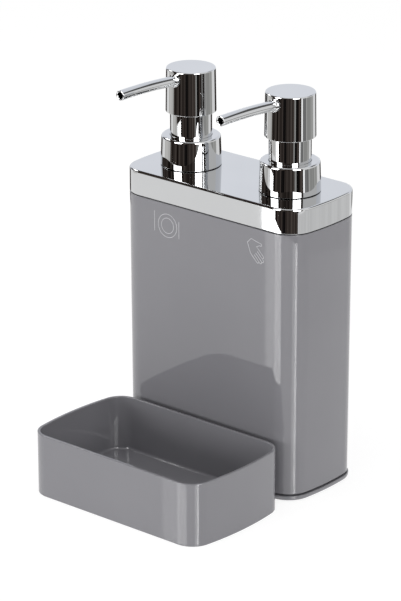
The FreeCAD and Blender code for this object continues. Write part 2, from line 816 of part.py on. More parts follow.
for thing in doc.Objects:
    if "Invalid" in thing.State or "Error" in thing.State:
        raise RuntimeError(f"{thing.Label} failed: {thing.State}")
for label, thing in parts.items():
    if thing.Shape.isNull() or not thing.Shape.isValid():
        raise RuntimeError(f"{label} has no valid shape")

os.makedirs("parts", exist_ok=True)
for label, thing in parts.items():
    thing.Shape.exportStep(f"parts/{label}.step")
    print(f"{label}: {len(thing.Shape.Solids)} solid, {thing.Shape.Volume:.0f} mm3")
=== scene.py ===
# %% [markdown]
# Twin soap pump caddy
#
# A tall grey tank with a chrome lid, two chrome lotion pumps that screw on to the lid, and an open sponge
# tray that slides on to the base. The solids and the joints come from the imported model, which is a fixed
# frame here. This file gives every surface its finish, and builds the polished pieces again as fine meshes,
# because a mirror shows each flat facet of a coarse one.

# %% Load the frame
import json
import math

import bpy
from mathutils import Matrix, Vector
from mathutils.geometry import tessellate_polygon


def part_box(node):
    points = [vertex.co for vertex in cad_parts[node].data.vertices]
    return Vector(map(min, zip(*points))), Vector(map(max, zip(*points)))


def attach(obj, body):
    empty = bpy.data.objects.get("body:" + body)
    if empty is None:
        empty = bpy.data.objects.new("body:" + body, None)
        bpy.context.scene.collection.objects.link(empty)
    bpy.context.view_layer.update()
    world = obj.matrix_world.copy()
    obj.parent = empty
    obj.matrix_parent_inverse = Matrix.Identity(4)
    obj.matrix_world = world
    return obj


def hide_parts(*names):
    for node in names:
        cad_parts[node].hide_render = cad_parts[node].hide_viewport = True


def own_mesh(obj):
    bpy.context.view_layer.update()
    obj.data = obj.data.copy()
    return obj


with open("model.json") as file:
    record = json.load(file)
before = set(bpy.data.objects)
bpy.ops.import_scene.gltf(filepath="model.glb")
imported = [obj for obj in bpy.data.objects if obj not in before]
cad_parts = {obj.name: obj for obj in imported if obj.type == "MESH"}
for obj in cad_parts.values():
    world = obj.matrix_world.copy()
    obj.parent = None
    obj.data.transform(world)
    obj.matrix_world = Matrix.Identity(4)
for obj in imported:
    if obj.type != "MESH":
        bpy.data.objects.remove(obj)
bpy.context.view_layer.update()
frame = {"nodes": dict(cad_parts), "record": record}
scene = bpy.context.scene
MM = 0.001

# %% [markdown]
# Sizes that the pieces share
#
# The frame knows where each solid lies, so the levels are read from the boxes of the nodes. Only what a box
# can't tell, such as a wall or the radius of an edge, is written here, in millimetres times MM.

# %% Read levels and places from the frame
tank_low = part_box("tank_shell")[0]
gasket_low, gasket_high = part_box("lid_gasket")
base_low, base_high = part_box("base_plate")
lid_low, lid_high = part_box("lid_cover")
tray_low, tray_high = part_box("sponge_tray")
collar_low, collar_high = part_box("left_collar")
sleeve_low, sleeve_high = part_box("left_guide_sleeve")
head_low, head_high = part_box("left_head_shell")

SIDES = ("left", "right")
pump_x = {side: sum(corner.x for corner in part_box(side + "_head_core")) / 2 for side in SIDES}
COLLAR_GAP = 0.3 * MM
lid_top = collar_low.z - COLLAR_GAP
lid_bottom = gasket_high.z
tank_top = gasket_low.z
print("pumps at", {side: round(x / MM, 2) for side, x in pump_x.items()}, "lid top", round(lid_top / MM, 2))

# %% [markdown]
# Outlines with round corners
#
# Every piece here has a profile whose corners are small arcs: a moulded edge is never sharp, and the small
# round catches the light. The function walks round the corners with the solid on its left hand, and keeps
# the exact normal of each point, so that the shading doesn't depend on how fine the mesh is. A Bevel
# modifier would do it too, but it leaves the normals on large flat faces to chance, which shows at once in
# chrome.

# %% Round a profile
ARC_STEP = math.radians(9)


def right_of(direction):
    return Vector((direction.y, -direction.x))


def rounded(corners, closed=False):
    """Points and outward normals of a profile given as (across, up, radius) corners."""
    places = [Vector(corner[:2]) for corner in corners]
    last = len(corners) - 1
    profile = []
    for index, (here, corner) in enumerate(zip(places, corners)):
        if not closed and index in (0, last):
            first, second = (places[0], places[1]) if index == 0 else (places[-2], places[-1])
            profile.append((here, right_of((second - first).normalized())))
            continue
        arriving = (here - places[index - 1]).normalized()
        leaving = (places[(index + 1) % len(places)] - here).normalized()
        turn = math.atan2(arriving.cross(leaving), arriving.dot(leaving))
        radius = corner[2]
        normal = right_of(arriving)
        if radius == 0:
            profile.append((here, (normal + right_of(leaving)).normalized()))
            continue
        hand = math.copysign(radius, turn)
        start = here - arriving * (radius * math.tan(abs(turn) / 2))
        centre = start - normal * hand
        steps = max(2, math.ceil(abs(turn) / ARC_STEP))
        for step in range(steps + 1):
            facing = Matrix.Rotation(turn * step / steps, 2) @ normal
            profile.append((centre + facing * hand, facing))
    return profile


print("arc points every", round(math.degrees(ARC_STEP)), "degrees")

# %% [markdown]
# Rings to carry a profile round
#
# The tank, the lid and the tray have the same kind of plan: straight front and back, ends bowed to a large
# arc and round corners. The pump pieces are turned, so their ring is a circle. Both are lists of a place
# and a normal: a profile point stands at the place, moved along the normal by its distance across. Spin
# could turn the round pieces, but it can't follow the bowed plan, and this way one sweep serves both.

# %% Plans and circles
CORNER_STEPS = 26
END_STEPS = 10
CIRCLE_STEPS = 120


def bowed_plan(width, depth, corner, end, middle_y=0.0, back_stops=()):
    """The plan with bowed ends, counter-clockwise from the front right corner."""
    end_x = width / 2 - end
    corner_y = depth / 2 - corner
    corner_x = end_x + math.sqrt((end - corner) ** 2 - corner_y ** 2)
    spread = math.atan2(corner_y, corner_x - end_x)
    half_turn, quarter = math.pi, math.pi / 2
    arcs = (
        (corner_x, -corner_y, corner, -quarter, -spread, CORNER_STEPS),
        (end_x, 0, end, -spread, spread, END_STEPS),
        (corner_x, corner_y, corner, spread, quarter, CORNER_STEPS),
        (-corner_x, corner_y, corner, quarter, half_turn - spread, CORNER_STEPS),
        (-end_x, 0, end, half_turn - spread, half_turn + spread, END_STEPS),
        (-corner_x, -corner_y, corner, half_turn + spread, 3 * quarter, CORNER_STEPS),
    )
    arcs_per_side = len(arcs) // 2
    ring = []
    for number, (x, y, radius, start, finish, steps) in enumerate(arcs):
        follows_arc = number % arcs_per_side > 0
        for step in range(int(follows_arc), steps + 1):
            angle = start + (finish - start) * step / steps
            normal = Vector((math.cos(angle), math.sin(angle)))
            ring.append((Vector((x, middle_y + y)) + normal * radius, normal))
        if number == arcs_per_side - 1:
            back = Vector((0, 1))
            ring += [(Vector((stop, middle_y + depth / 2)), back) for stop in back_stops]
    return ring


def circle(x, y, steps=CIRCLE_STEPS):
    """A ring about an upright axis, where the distance across is the radius."""
    angles = [2 * math.pi * step / steps for step in range(steps)]
    return [(Vector((x, y)), Vector((math.cos(a), math.sin(a)))) for a in angles]


print("points on a circle:", len(circle(0, 0)))

# %% [markdown]
# A skin that grows from profiles and rings
#
# One small class gathers the points, the normals and the faces of a piece. Sweeping a profile round a ring
# makes a grid of quads, and a flat lid closes an end, with holes in it where other rings go through.
# Modelling by hand with modifiers would work too, but here a size changes in one line, and the mirrors
# stay clean.

# %% Gather a piece's faces


class Skin:
    """The points of one piece, each with its exact normal, and its faces."""

    def __init__(self):
        self.points, self.normals, self.faces = [], [], []

    def loop(self, ring, place, facing):
        first = len(self.points)
        for base, out in ring:
            self.points.append((base + out * place.x).to_3d() + Vector((0, 0, place.y)))
            self.normals.append((out * facing.x).to_3d() + Vector((0, 0, facing.y)))
        return list(range(first, len(self.points)))

    def sweep(self, ring, profile, closed=False, gap=None):
        """Carry a profile round a ring. A gap is (ring segment, first and last profile point)."""
        loops = [self.loop(ring, place, facing) for place, facing in profile]
        count = len(ring)
        pairs = list(zip(loops, loops[1:]))
        if closed:
            pairs.append((loops[-1], loops[0]))
        for row, (low, high) in enumerate(pairs):
            for here in range(count):
                following = (here + 1) % count
                if gap and here == gap[0] and gap[1] <= row < gap[2]:
                    continue
                self.faces.append((low[here], low[following], high[following], high[here]))
        if gap:
            here, following = gap[0], gap[0] + 1
            inner, outer = loops[gap[1]], loops[gap[2]]
            self.faces.append((inner[here], inner[following], outer[following], outer[here]))
            wall = loops[gap[1]:gap[2] + 1]
            self.faces.append(tuple(row[here] for row in wall))
            self.faces.append(tuple(row[following] for row in reversed(wall)))
        return loops

    def close(self, loop, holes=()):
        """A flat face inside a loop, round any holes, facing the way that the loop's points face."""
        if not holes:
            upward = self.normals[loop[0]].z > 0
            self.faces.append(tuple(loop if upward else reversed(loop)))
            return
        order = [index for part in (loop, *holes) for index in part]
        rims = [[self.points[index] for index in part] for part in (loop, *holes)]
        for corners in tessellate_polygon(rims):
            a, b, c = (order[corner] for corner in corners)
            across = (self.points[b] - self.points[a]).cross(self.points[c] - self.points[a])
            self.faces.append((a, b, c) if across.z * self.normals[a].z > 0 else (a, c, b))


print("skin maker ready")

# %% [markdown]
# From a skin to a whole piece
#
# Most pieces need the same few steps: close both ends of a sweep, add a flat block, bend what was made
# straight, and hand the result to Blender. The normals go into the mesh as custom ones, because Blender
# would otherwise average them from the faces.

# %% Finish a piece's mesh


class Shell(Skin):
    """A skin that can be filled, bent and made a mesh."""

    def fill(self, ring, profile, gap=None):
        """Carry a profile round a ring, and close both its ends."""
        loops = self.sweep(ring, profile, gap=gap)
        self.close(loops[0])
        self.close(loops[-1])

    def plate(self, corners, low, high, edge):
        """A flat block with a round-cornered plan and softened edges."""
        inside = -2 * edge
        wall = rounded([(inside, low, 0), (0, low, edge), (0, high, edge), (inside, high, 0)])
        self.fill(rounded(corners, closed=True), wall)

    def bend(self, place_of, turn_of):
        """Move every point, and turn its normal, as the two functions say."""
        self.normals = [turn_of(point) @ normal for point, normal in zip(self.points, self.normals)]
        self.points = [place_of(point) for point in self.points]

    def mesh(self, name):
        mesh = bpy.data.meshes.new(name)
        mesh.from_pydata(self.points, [], self.faces)
        mesh.polygons.foreach_set("use_smooth", [True] * len(mesh.polygons))
        mesh.normals_split_custom_set_from_vertices(self.normals)
        mesh.update()
        return mesh


print("shell maker ready")

# %% [markdown]
# Node helpers for the finishes
#
# Each finish is a Principled shader whose colour, roughness and fine relief come from noise in Object
# coordinates, so they stay on the piece in every pose. An image would need an unwrapped surface, and noise
# needs none. What is the same all over is set on the socket.

# %% Node helpers


def add_node(tree, kind, inputs=None, **settings):
    """A node, with each given input linked to a socket or set to a value."""
    node = tree.nodes.new(kind)
    for name, value in settings.items():
        setattr(node, name, value)
    for name, value in (inputs or {}).items():
        if isinstance(value, bpy.types.NodeSocket):
            tree.links.new(value, node.inputs[name])
        else:
            node.inputs[name].default_value = value
    return node


def add_noise(tree, scale, detail, stretch=(1, 1, 1)):
    """Noise in Object coordinates, with scale in blobs per metre."""
    place = add_node(tree, "ShaderNodeTexCoord").outputs["Object"]
    stretched = add_node(tree, "ShaderNodeMapping", {"Vector": place, "Scale": stretch}).outputs["Vector"]
    noise = add_node(tree, "ShaderNodeTexNoise", {"Vector": stretched, "Scale": scale, "Detail": detail})
    return noise.outputs["Fac"]


print("node helpers ready")

# %% Finish helpers
COLOUR_ENDS = (0.3, 0.7)


def uneven_colour(tree, dark, light, ends=COLOUR_ENDS, **noise):
    """A colour that wanders with the noise, dark up to the first end and light from the second."""
    ramp = add_node(tree, "ShaderNodeValToRGB", {"Fac": add_noise(tree, **noise)})
    for stop, place, colour in zip(ramp.color_ramp.elements, ends, (dark, light)):
        stop.position = place
        stop.color = (*colour, 1)
    return ramp.outputs["Color"]


def uneven_gloss(tree, low, high, **noise):
    """A roughness that wanders between low and high."""
    values = {"Value": add_noise(tree, **noise), "To Min": low, "To Max": high}
    return add_node(tree, "ShaderNodeMapRange", values).outputs["Result"]


def fine_relief(tree, depth, strength, **noise):
    """Small bumps of a given depth."""
    values = {"Height": add_noise(tree, **noise), "Distance": depth, "Strength": strength}
    return add_node(tree, "ShaderNodeBump", values).outputs["Normal"]


def make_finish(name, colour, gloss, relief=None, metallic=0.0, ior=1.5, clarity=0.0):
    """A finish with uneven colour and gloss, and fine relief where it is given."""
    material = bpy.data.materials.new(name)
    material.use_nodes = True
    tree = material.node_tree
    shader = tree.nodes["Principled BSDF"].inputs
    for socket, value in (("Metallic", metallic), ("IOR", ior), ("Transmission Weight", clarity)):
        shader[socket].default_value = value
    tree.links.new(uneven_colour(tree, **colour), shader["Base Color"])
    tree.links.new(uneven_gloss(tree, **gloss), shader["Roughness"])
    if relief:
        tree.links.new(fine_relief(tree, **relief), shader["Normal"])
    return material


print("finish helpers ready")

# %% [markdown]
# Grey gloss plastic
#
# Tank, base and tray are moulded in one mid grey with a high polish. A polished moulding isn't a perfect
# mirror: it has a very slight orange-peel, and the gloss differs a little from place to place. The colour
# shifts by a few percent, as pigment does in a thick wall. One flat colour would do from afar, but close
# up it looks like paint, so noise drives all three.

# %% Grey gloss
grey_gloss = make_finish(
    "grey_gloss",
    ior=1.52,
    colour=dict(scale=14, detail=3, dark=(0.195, 0.193, 0.208), light=(0.207, 0.205, 0.220)),
    gloss=dict(scale=60, detail=4, low=0.01, high=0.03),
    relief=dict(scale=420, detail=1, depth=0.0015 * MM, strength=0.5),
)
print(grey_gloss.name)

# %% [markdown]
# Chrome plating
#
# The lid, the collars, the necks and the heads are plastic with a bright chrome plating. Chrome is nearly a
# mirror, slightly blue and not quite white. A little roughness, uneven like wiped metal, keeps it from
# looking computed. What makes chrome look like chrome is what it reflects, and that is built with the stage
# below.

# %% Chrome
chrome = make_finish(
    "chrome_plate",
    metallic=1.0,
    colour=dict(scale=25, detail=3, dark=(0.555, 0.56, 0.565), light=(0.575, 0.58, 0.585)),
    gloss=dict(scale=90, detail=5, low=0.01, high=0.03),
    relief=dict(scale=260, detail=1, depth=0.0015 * MM, strength=0.4),
)
print(chrome.name)

# %% [markdown]
# Finishes of the hidden pieces
#
# Natural polypropylene, rubber, a milky tube and steel don't show while the pumps are on, but they show
# when a piece is looked at by itself, so each has its own finish too. The steel is drawn to wire for the
# springs and polished for the balls.

# %% Plastics and rubber
natural_plastic = make_finish(
    "natural_plastic",
    ior=1.49,
    colour=dict(scale=90, detail=3, dark=(0.70, 0.72, 0.70), light=(0.78, 0.79, 0.77)),
    gloss=dict(scale=300, detail=3, low=0.32, high=0.48),
    relief=dict(scale=1500, detail=2, depth=0.02 * MM, strength=0.4),
)
milky_tube = make_finish(
    "clear_tube",
    ior=1.51,
    clarity=0.25,
    colour=dict(scale=40, detail=2, stretch=(1, 1, 0.1), dark=(0.66, 0.70, 0.70), light=(0.76, 0.80, 0.79)),
    gloss=dict(scale=200, detail=3, low=0.18, high=0.30),
)
seal_rubber = make_finish(
    "seal_rubber",
    ior=1.52,
    colour=dict(scale=500, detail=4, dark=(0.012, 0.012, 0.013), light=(0.030, 0.030, 0.032)),
    gloss=dict(scale=900, detail=3, low=0.55, high=0.75),
    relief=dict(scale=2600, detail=3, depth=0.05 * MM, strength=0.6),
)
print("finishes:", [finish.name for finish in (natural_plastic, milky_tube, seal_rubber)])

# %% Steel
STEEL_SHADE = 0.86


def make_steel(name, light, low, high, stretch=(1, 1, 1)):
    dark = tuple(STEEL_SHADE * channel for channel in light)
    return make_finish(
        name,
        metallic=1.0,
        colour=dict(scale=700, detail=3, stretch=stretch, dark=dark, light=light),
        gloss=dict(scale=1600, detail=3, stretch=stretch, low=low, high=high),
    )


spring_steel = make_steel("spring_steel", (0.62, 0.61, 0.60), low=0.22, high=0.36, stretch=(1, 1, 4))
valve_steel = make_steel("valve_ball", (0.70, 0.70, 0.69), low=0.06, high=0.14)
print("finishes:", [finish.name for finish in (spring_steel, valve_steel)])

# %% [markdown]
# Dressing the frame
#
# A piece made here is linked, painted, tied to the body that it moves with, and stands in for its CAD node.
# The nodes that stay get their finish in their own material slots.

# %% Dress a piece
SLOT_FINISH = {
    "grey_gloss": grey_gloss,
    "chrome_plate": chrome,
    "natural_plastic": natural_plastic,
    "clear_tube": milky_tube,
    "seal_rubber": seal_rubber,
    "spring_steel": spring_steel,
    "valve_ball": valve_steel,
}


def dress(mesh, body, slot, *nodes, finish=None):
    """Put a finished mesh into the scene as a piece that rides on a body."""
    piece = bpy.data.objects.new(mesh.name, mesh)
    scene.collection.objects.link(piece)
    mesh.materials.clear()
    mesh.materials.append(finish or SLOT_FINISH[slot])
    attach(piece, body)
    if nodes:
        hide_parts(*nodes)
    spans = [round(size / MM, 1) for size in piece.dimensions]
    print(f"{piece.name}: {len(mesh.polygons)} faces, {spans} mm")
    return piece


for part in frame["record"]["subparts"]:
    node = frame["nodes"][part["node"]]
    node.data.materials.clear()
    node.data.materials.append(SLOT_FINISH[part["material_slot"]])

# %% [markdown]
# Tank
#
# The tank is a thin-walled box, a little narrower at the foot so that it leaves its mould. One profile
# holds the whole wall: from the underside of the floor, round the skirt, up the outside, over the rim and
# down the inside. A cube with Bevel and Solidify would come close, but the ends are bowed and the walls
# lean, and a swept profile has both exactly. A partition keeps the two soaps apart.

# %% Make the tank
TANK_WIDTH, TANK_DEPTH = 130.4 * MM, 60.6 * MM
TANK_CORNER, TANK_END = 15.3 * MM, 160 * MM
TANK_DRAFT, TANK_WALL, TANK_SKIRT, TANK_FLOOR = 0.7 * MM, 2.0 * MM, 2.8 * MM, 2.2 * MM
PARTITION_WALL, PARTITION_DROP = 1.8 * MM, 6.8 * MM
SMALL_EDGE = 0.3 * MM
tank_plan = bowed_plan(TANK_WIDTH, TANK_DEPTH, TANK_CORNER, TANK_END)
floor_bottom = tank_low.z + TANK_SKIRT
floor_top = floor_bottom + TANK_FLOOR


def make_tank():
    foot_inside = -TANK_DRAFT - TANK_WALL
    profile = rounded([
        (2 * foot_inside, floor_bottom, 0),
        (foot_inside, floor_bottom, SMALL_EDGE),
        (foot_inside, tank_low.z, SMALL_EDGE),
        (-TANK_DRAFT, tank_low.z, SMALL_EDGE),
        (0, tank_top, SMALL_EDGE),
        (-TANK_WALL, tank_top, SMALL_EDGE),
        (foot_inside, floor_top, TANK_WALL),
        (3 * foot_inside, floor_top, 0),
    ])
    shell = Shell()
    shell.fill(tank_plan, profile)
    half, reach = PARTITION_WALL / 2, TANK_DEPTH / 2 - TANK_WALL / 2 - TANK_DRAFT
    corners = [(-half, -reach, 0), (half, -reach, 0), (half, reach, 0), (-half, reach, 0)]
    shell.plate(corners, floor_bottom + TANK_FLOOR / 2, tank_top - PARTITION_DROP, SMALL_EDGE)
    return shell.mesh("tank")


dress(make_tank(), "tank", "grey_gloss", "tank_shell")

# %% [markdown]
# Base plate
#
# A thin foot closes the tank from below. Its lower edge is rounded, a dark seam stays between it and the
# tank, and a flat tongue reaches forward under the tray, which slides on to it. A scaled copy of the
# tank's foot would have other corner radii, so the profile goes round the tank's own plan and every step
# is inset evenly.

# %% Make the base plate
FLANGE_INSET, FLANGE_HEIGHT, FLANGE_ROUND = 0.05 * MM, 2.9 * MM, 1.8 * MM
PLINTH_INSET = TANK_DRAFT + TANK_WALL + 0.2 * MM
PAD_INSET, PAD_RECESS = 8 * MM, 0.8 * MM
TONGUE_WIDTH, TONGUE_THICKNESS, TONGUE_CORNER = 60 * MM, 2 * MM, 6 * MM


def make_base():
    bottom, top = base_low.z, base_high.z
    flange_top = bottom + FLANGE_HEIGHT
    profile = rounded([
        (-1.2 * PAD_INSET, bottom + PAD_RECESS, 0),
        (-PAD_INSET, bottom + PAD_RECESS, SMALL_EDGE),
        (-PAD_INSET, bottom, SMALL_EDGE),
        (-FLANGE_INSET, bottom, FLANGE_ROUND),
        (-FLANGE_INSET, flange_top, SMALL_EDGE),
        (-PLINTH_INSET, flange_top, SMALL_EDGE),
        (-PLINTH_INSET, top, SMALL_EDGE),
        (-1.5 * PLINTH_INSET, top, 0),
    ])
    shell = Shell()
    shell.fill(tank_plan, profile)
    half, tip, root = TONGUE_WIDTH / 2, base_low.y, FLANGE_ROUND + TANK_DRAFT - TANK_DEPTH / 2
    corners = [(-half, tip, TONGUE_CORNER), (half, tip, TONGUE_CORNER), (half, root, 0), (-half, root, 0)]
    shell.plate(corners, bottom, bottom + TONGUE_THICKNESS, SMALL_EDGE)
    return shell.mesh("base")


dress(make_base(), "tank", "grey_gloss", "base_plate")

# %% [markdown]
# Lid with its two necks
#
# The chrome lid has a flat top with a small rounded edge, a lip inside the tank, and two necks that the
# pumps screw on to. The flat top and its underside are filled between the outer loop and the two neck
# loops, so the whole lid is one closed skin. A Boolean could cut the openings too, but it leaves uneven
# shading round a cut, which chrome shows at once.

# %% Make the lid
LID_ROUND, LID_PLATE = 1.2 * MM, 2.2 * MM
LIP_INSET, LIP_WALL = 2.2 * MM, 1.4 * MM
NECK_RADIUS, NECK_BORE = 12.3 * MM, 10.5 * MM


def make_lid():
    ceiling = lid_top - LID_PLATE
    lip_inside = -LIP_INSET - LIP_WALL
    shell = Shell()
    rim = shell.sweep(tank_plan, rounded([
        (2 * lip_inside, ceiling, 0),
        (lip_inside, ceiling, SMALL_EDGE),
        (lip_inside, lid_low.z, SMALL_EDGE),
        (-LIP_INSET, lid_low.z, SMALL_EDGE),
        (-LIP_INSET, lid_bottom, SMALL_EDGE),
        (0, lid_bottom, SMALL_EDGE),
        (0, lid_top, LID_ROUND),
        (-2 * LID_ROUND, lid_top, 0),
    ]))
    necks = [shell.sweep(circle(x, 0), rounded([
        (NECK_RADIUS + 3 * SMALL_EDGE, lid_top, 0),
        (NECK_RADIUS, lid_top, SMALL_EDGE),
        (NECK_RADIUS, lid_high.z, SMALL_EDGE),
        (NECK_BORE, lid_high.z, SMALL_EDGE),
        (NECK_BORE, ceiling, SMALL_EDGE),
        (NECK_BORE + 3 * SMALL_EDGE, ceiling, 0),
    ])) for x in pump_x.values()]
    shell.close(rim[0], [neck[-1] for neck in necks])
    shell.close(rim[-1], [neck[0] for neck in necks])
    return shell.mesh("lid")


dress(make_lid(), "tank", "chrome_plate", "lid_cover")

# %% [markdown]
# Sponge tray
#
# An open tray with thin walls, a fully softened rim and a rounded foot to the inside walls. Its floor
# stands on a short skirt, which has a gate at the back for the base's tongue, and two rails below guide it
# on. The gate could be cut with a Boolean, but leaving out a few faces of the sweep and walling the gap
# keeps the mesh clean.

# %% Make the tray
TRAY_CORNER, TRAY_END = 12.65 * MM, 185 * MM
TRAY_WALL, TRAY_FLOOR, TRAY_FOOT = 1.8 * MM, 1.8 * MM, 2.8 * MM
TRAY_RIM, TRAY_BOWL, TRAY_FOOT_EDGE = 0.5 * MM, 1.6 * MM, 0.7 * MM
RAIL_WALL, RAIL_CLEARANCE = 1.6 * MM, 0.4 * MM


def make_tray():
    width, depth = tray_high.x - tray_low.x, tray_high.y - tray_low.y
    middle_y = (tray_high.y + tray_low.y) / 2
    gate = TONGUE_WIDTH / 2 + RAIL_CLEARANCE
    plan = bowed_plan(width, depth, TRAY_CORNER, TRAY_END, middle_y, (gate, -gate))
    profile = rounded([
        (-2 * TRAY_WALL, TRAY_FOOT, 0),
        (-TRAY_WALL, TRAY_FOOT, 0),
        (-TRAY_WALL, tray_low.z, SMALL_EDGE),
        (0, tray_low.z, TRAY_FOOT_EDGE),
        (0, TRAY_FOOT, 0),
        (0, tray_high.z, TRAY_RIM),
        (-TRAY_WALL, tray_high.z, TRAY_RIM),
        (-TRAY_WALL, TRAY_FOOT + TRAY_FLOOR, TRAY_BOWL),
        (-3 * TRAY_WALL, TRAY_FOOT + TRAY_FLOOR, 0),
    ])
    at_gate = [abs(place.x - gate) < MM / 100 and place.y > middle_y for place, _ in plan]
    gate_segment = at_gate.index(True)
    on_foot = [i for i, (place, _) in enumerate(profile) if abs(place.y - TRAY_FOOT) < MM / 100]
    shell = Shell()
    shell.fill(plan, profile, gap=(gate_segment, on_foot[1], on_foot[2]))
    reach = depth / 2 - TRAY_WALL / 2
    front, back = middle_y - reach, middle_y + reach
    for low, high in ((-gate - RAIL_WALL, -gate), (gate, gate + RAIL_WALL)):
        corners = [(low, front, 0), (high, front, 0), (high, back, 0), (low, back, 0)]
        shell.plate(corners, base_low.z, TRAY_FOOT + TRAY_FLOOR / 2, SMALL_EDGE)
    return shell.mesh("tray")


dress(make_tray(), "tray", "grey_gloss", "sponge_tray")

# %% [markdown]
# Turned pump pieces
#
# Collar, neck sleeve and push head are turned pieces, so each is a profile swept round its pump's axis. The
# collar and the sleeve are rings with a closed profile. The head is a cap: its top and its ceiling are flat
# faces. The Screw modifier could turn them as well, but its normals are averages of the faces, and a
# mirror shows that.

# %% Make the collars and sleeves
COLLAR_FOOT, COLLAR_TOP, COLLAR_ROUND = 17.4 * MM, 16.8 * MM, 1.4 * MM
COLLAR_BORE, COLLAR_HOLE, COLLAR_WEB = 13.6 * MM, 11.98 * MM, 2.2 * MM
SLEEVE_RADIUS, SLEEVE_WALL = 11.9 * MM, 1.2 * MM


def make_ring(name, x, corners):
    """A turned ring about an upright axis."""
    shell = Shell()
    shell.sweep(circle(x, 0), rounded(corners, closed=True), closed=True)
    return shell.mesh(name)


def make_collar(side):
    web_bottom = collar_high.z - COLLAR_WEB
    return make_ring(side + "_screw_collar", pump_x[side], [
        (COLLAR_BORE, collar_low.z, SMALL_EDGE),
        (COLLAR_FOOT, collar_low.z, SMALL_EDGE),
        (COLLAR_TOP, collar_high.z, COLLAR_ROUND),
        (COLLAR_HOLE, collar_high.z, SMALL_EDGE),
        (COLLAR_HOLE, web_bottom, SMALL_EDGE),
        (COLLAR_BORE, web_bottom, SMALL_EDGE),
    ])


def make_sleeve(side):
    inner = SLEEVE_RADIUS - SLEEVE_WALL
    return make_ring(side + "_neck_sleeve", pump_x[side], [
        (inner, sleeve_low.z, SMALL_EDGE),
        (SLEEVE_RADIUS, sleeve_low.z, SMALL_EDGE),
        (SLEEVE_RADIUS, sleeve_high.z, SMALL_EDGE),
        (inner, sleeve_high.z, SMALL_EDGE),
    ])


for side in SIDES:
    dress(make_collar(side), side + "_collar", "chrome_plate", side + "_collar")
    dress(make_sleeve(side), side + "_pump", "chrome_plate", side + "_guide_sleeve")

# %% Make the heads
HEAD_FOOT, HEAD_TOP, HEAD_BORE = 14.4 * MM, 14.0 * MM, 12.6 * MM
HEAD_PLATE, HEAD_ROUND = 1.6 * MM, 0.7 * MM


def make_head(side):
    ceiling = head_high.z - HEAD_PLATE
    shell = Shell()
    shell.fill(circle(pump_x[side], 0), rounded([
        (HEAD_BORE / 2, ceiling, 0),
        (HEAD_BORE, ceiling, SMALL_EDGE),
        (HEAD_BORE, head_low.z, SMALL_EDGE),
        (HEAD_FOOT, head_low.z, SMALL_EDGE),
        (HEAD_TOP, head_high.z, HEAD_ROUND),
        (HEAD_TOP / 2, head_high.z, 0),
    ]))
    return shell.mesh(side + "_push_head")


for side in SIDES:
    dress(make_head(side), side + "_head", "chrome_plate", side + "_head_shell")

# %% [markdown]
# Spouts
#
# The spout is a thin tube bent to one gentle arc, with a small ring where it enters the head. It is first
# turned as a straight tube along Z, and then bent: every point moves to its place on the arc and its normal
# turns along. A bevelled curve would give the tube in fewer lines, but neither the ring nor the soft lip at
# its mouth.

# %% Turn a straight spout
SPOUT_RADIUS, SPOUT_BORE, SPOUT_ROOT = 2.9 * MM, 1.9 * MM, 5 * MM
RING_START, RING_LENGTH, RING_PROUD = HEAD_FOOT, 1.1 * MM, 0.7 * MM
LIP_OUTSIDE, LIP_INSIDE = 0.35 * MM, 0.55 * MM
SPOUT_STOPS = 14
SPOUT_STEPS = 48


def straight_spout(reach):
    """The spout before it is bent, along Z from its root to its reach."""
    ring_end = RING_START + RING_LENGTH
    stops = [ring_end + (reach - ring_end) * step / SPOUT_STOPS for step in range(1, SPOUT_STOPS)]
    ring_radius = SPOUT_RADIUS + RING_PROUD
    edge = SMALL_EDGE / 2
    profile = rounded(
        [
            (SPOUT_BORE, SPOUT_ROOT, edge),
            (SPOUT_RADIUS, SPOUT_ROOT, edge),
            (SPOUT_RADIUS, RING_START, edge),
            (ring_radius, RING_START, edge),
            (ring_radius, ring_end, SMALL_EDGE),
            (SPOUT_RADIUS, ring_end, SMALL_EDGE),
        ]
        + [(SPOUT_RADIUS, stop, 0) for stop in stops]
        + [(SPOUT_RADIUS, reach, LIP_OUTSIDE), (SPOUT_BORE, reach, LIP_INSIDE)]
        + [(SPOUT_BORE, stop, 0) for stop in reversed(stops)],
        closed=True,
    )
    shell = Shell()
    shell.sweep(circle(0, 0, SPOUT_STEPS), profile, closed=True)
    return shell


print("bore of a spout:", round(2 * SPOUT_BORE / MM, 1), "mm")

# %% Bend the spouts
SPOUT_APEX, SPOUT_BEND, SPOUT_DROP = 54 * MM, 430 * MM, 3.3 * MM


def lean_at(point):
    return (SPOUT_APEX - point.z) / SPOUT_BEND


def arc_turn(point):
    """The turn that the arc gives to a normal."""
    angle = lean_at(point)
    along = Vector((0, -math.cos(angle), math.sin(angle)))
    radial = Vector((0, math.sin(angle), math.cos(angle)))
    return Matrix(((1, 0, 0), radial, along)).transposed()


def make_spout(side):
    tip_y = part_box(side + "_spout")[0].y
    reach = SPOUT_APEX + SPOUT_BEND * math.asin((-tip_y - SPOUT_APEX) / (SPOUT_BEND + SPOUT_RADIUS))
    axis = Vector((pump_x[side], -SPOUT_APEX, head_high.z - SPOUT_DROP - SPOUT_BEND))

    def arc_place(point):
        angle, radius = lean_at(point), SPOUT_BEND + point.y
        return axis + Vector((point.x, radius * math.sin(angle), radius * math.cos(angle)))

    shell = straight_spout(reach)
    shell.bend(arc_place, arc_turn)
    return shell.mesh(side + "_outlet")


for side in SIDES:
    dress(make_spout(side), side + "_head", "chrome_plate", side + "_spout")

# %% [markdown]
# Trees of Geometry Nodes
#
# A thread, a spring and a drawn line follow one rule: a round section carried along a curve. Geometry Nodes
# make them, with their sizes as named inputs. Each tree starts with its inputs and ends by realizing and
# painting what it made, so these steps are helpers. The result is then turned into a plain mesh.

# %% Tree helpers


